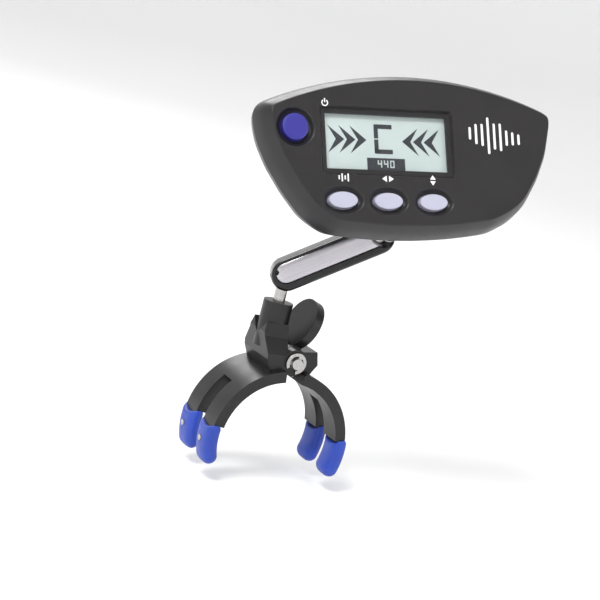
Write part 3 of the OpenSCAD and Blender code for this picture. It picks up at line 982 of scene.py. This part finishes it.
class TUNER_OT_electronics(bpy.types.Operator):
    """Finishes the board, chip, switches, cell and other inner parts"""
    bl_idname = "tuner.build_electronics"
    bl_label = "Electronics"

    def execute(self, context):
        for node in ("contact_strips", "circuit_board", "tuner_chip", "switches", "piezo_disc",
                     "coin_cell", "cell_contacts"):
            dress(node, 0.1)
        return {"FINISHED"}


class TUNER_OT_arm(bpy.types.Operator):
    """Builds the satin arm plate and finishes the channel, cups, rivets and studs"""
    bl_idname = "tuner.build_arm"
    bl_label = "Arm"

    def execute(self, context):
        build_arm_plate()
        build_arm_channel()
        for node in ("lower_ball_cup", "upper_ball_cup", "arm_rivets", "lower_ball_stud",
                     "upper_ball_stud", "upper_stud_ring"):
            dress(node, 0.12)
        return {"FINISHED"}


class TUNER_OT_clip(bpy.types.Operator):
    """Builds the soft pads and finishes the levers, pin, rings and spring"""
    bl_idname = "tuner.build_clip"
    bl_label = "Clip"

    def execute(self, context):
        dress("post_lever", 0.45, 30.0)
        dress("paddle_lever", 0.45, 30.0)
        build_pads("post_side_pads", "post_side_boots", 1)
        build_pads("paddle_side_pads", "paddle_side_boots", -1)
        for node in ("post_side_studs", "paddle_side_studs", "hinge_pin", "front_e_clip",
                     "rear_e_clip", "torsion_spring"):
            dress(node, 0.08)
        return {"FINISHED"}


CAMERA_TURN = -28.9
CAMERA_RISE = 9.2
CAMERA_ROLL = 14.6
CAMERA_DISTANCE = 0.40
CAMERA_FOCUS = 1515.5
PICTURE_SIDE = 600
SENSOR = 36
CAMERA_AIM = (-0.0038, -0.0168)
AIM_HEIGHT = 0.055
FLOOR_DROP = 0.004


def area_light(name, place, target, size, power, color=(1, 1, 1)):
    data = bpy.data.lights.new(name, "AREA")
    data.shape = "DISK"
    data.size = size
    data.energy = power
    data.color = color
    made = bpy.data.objects.new(name, data)
    made.location = place
    made.rotation_mode = "QUATERNION"
    made.rotation_quaternion = (Vector(target) - Vector(place)).to_track_quat("-Z", "Y")
    bpy.context.scene.collection.objects.link(made)
    return made


class TUNER_OT_stage(bpy.types.Operator):
    """Sets the pale floor, the soft lights and the camera"""
    bl_idname = "tuner.build_stage"
    bl_label = "Stage"

    def execute(self, context):
        self.camera(context)
        self.floor()
        self.card()
        self.lights(context)
        return {"FINISHED"}

    def camera(self, context):
        turn, rise, roll = (math.radians(a) for a in (CAMERA_TURN, CAMERA_RISE, CAMERA_ROLL))
        back = Vector((math.sin(turn) * math.cos(rise), -math.cos(turn) * math.cos(rise),
                       math.sin(rise)))
        level = Vector((math.cos(turn), math.sin(turn), 0))
        above = back.cross(level)
        right = level * math.cos(roll) + above * math.sin(roll)
        up = above * math.cos(roll) - level * math.sin(roll)
        data = bpy.data.cameras.new("camera")
        data.sensor_width = SENSOR
        data.lens = CAMERA_FOCUS / PICTURE_SIDE * SENSOR
        data.clip_start, data.clip_end = 0.01, 20
        made = bpy.data.objects.new("camera", data)
        aim = Vector((0, 0, AIM_HEIGHT)) + right * CAMERA_AIM[0] + up * CAMERA_AIM[1]
        place = aim + back * CAMERA_DISTANCE
        made.matrix_world = Matrix.Translation(place) @ Matrix(
            (right, up, back)).transposed().to_4x4()
        context.scene.collection.objects.link(made)
        context.scene.camera = made

    def floor(self):
        ground = CAD_BOX[0].z - FLOOR_DROP
        count = 120
        rings = []
        for r, z in ((0.02, 0), (0.3, 0), (0.9, 0), (1.2, 0.03), (1.5, 0.15), (1.7, 0.4),
                     (1.8, 0.8), (1.85, 1.4)):
            rings.append([Vector((r * math.cos(math.radians(360 / count * k)),
                                  r * math.sin(math.radians(360 / count * k)), ground + z))
                          for k in range(count)])
        points = [p for ring in rings for p in ring]
        faces = [(i * count + k, i * count + (k + 1) % count,
                  (i + 1) * count + (k + 1) % count, (i + 1) * count + k)
                 for i in range(len(rings) - 1) for k in range(count)]
        faces.append(tuple(range(count)))
        floor = mesh_object("floor", points, faces)
        floor.data.shade_smooth()
        made, tree, shader = new_material("pale_floor")
        place = coordinates(tree)
        tree.links.new(shades(tree, noise(tree, place, 3.0), (0.88, 0.88, 0.88),
                              (0.90, 0.90, 0.90)), shader.inputs["Base Color"])
        shader.inputs["Roughness"].default_value = 0.8
        floor.data.materials.append(made)

    def card(self):
        """Black card beside the camera, seen only as a dark reflection in the bright metal."""
        card = mesh_object("black_card", [(0.42, -0.42, -0.25), (0.62, 0.12, -0.25),
                                          (0.62, 0.12, 0.5), (0.42, -0.42, 0.5)], [(0, 1, 2, 3)])
        made, tree, shader = new_material("black_card")
        place = coordinates(tree)
        tree.links.new(shades(tree, noise(tree, place, 4.0), (0.01, 0.01, 0.01),
                              (0.02, 0.02, 0.02)), shader.inputs["Base Color"])
        shader.inputs["Roughness"].default_value = 0.9
        card.data.materials.append(made)
        card.visible_camera = False
        card.visible_shadow = False

    def lights(self, context):
        world = bpy.data.worlds.new("soft_sky")
        world.use_nodes = True
        world.node_tree.nodes["Background"].inputs["Color"].default_value = (1, 1, 1, 1)
        world.node_tree.nodes["Background"].inputs["Strength"].default_value = 0.8
        context.scene.world = world
        context.scene.view_settings.view_transform = "Standard"
        middle = (0, 0, 0.05)
        area_light("key_light", (-0.55, -0.35, 0.75), middle, 0.35, 7)
        area_light("fill_light", (0.7, -0.5, 0.35), middle, 0.5, 2)
        area_light("back_light", (0.1, 0.8, 0.7), middle, 0.6, 4)


OPERATORS = (TUNER_OT_case, TUNER_OT_buttons, TUNER_OT_display, TUNER_OT_electronics,
             TUNER_OT_arm, TUNER_OT_clip, TUNER_OT_stage)


class TUNER_PT_panel(bpy.types.Panel):
    """Lists the tuner's settings and build steps"""
    bl_idname = "TUNER_PT_panel"
    bl_label = "Clip-on Tuner"
    bl_space_type = "VIEW_3D"
    bl_region_type = "UI"
    bl_category = "Tuner"

    def draw(self, context):
        for name in TunerSettings.__annotations__:
            self.layout.prop(context.scene.tuner, name)
        for operator in OPERATORS:
            self.layout.operator(operator.bl_idname)


CLASSES = (TunerSettings, *OPERATORS, TUNER_PT_panel)


def register():
    for made in CLASSES:
        bpy.utils.register_class(made)
    bpy.types.Scene.tuner = bpy.props.PointerProperty(type=TunerSettings)


def unregister():
    del bpy.types.Scene.tuner
    for made in reversed(CLASSES):
        bpy.utils.unregister_class(made)


def main():
    register()
    make_materials()
    bpy.ops.tuner.build_case()
    bpy.ops.tuner.build_buttons()
    bpy.ops.tuner.build_display()
    bpy.ops.tuner.build_electronics()
    bpy.ops.tuner.build_arm()
    bpy.ops.tuner.build_clip()
    bpy.ops.tuner.build_stage()


if __name__ == "__main__":
    main()
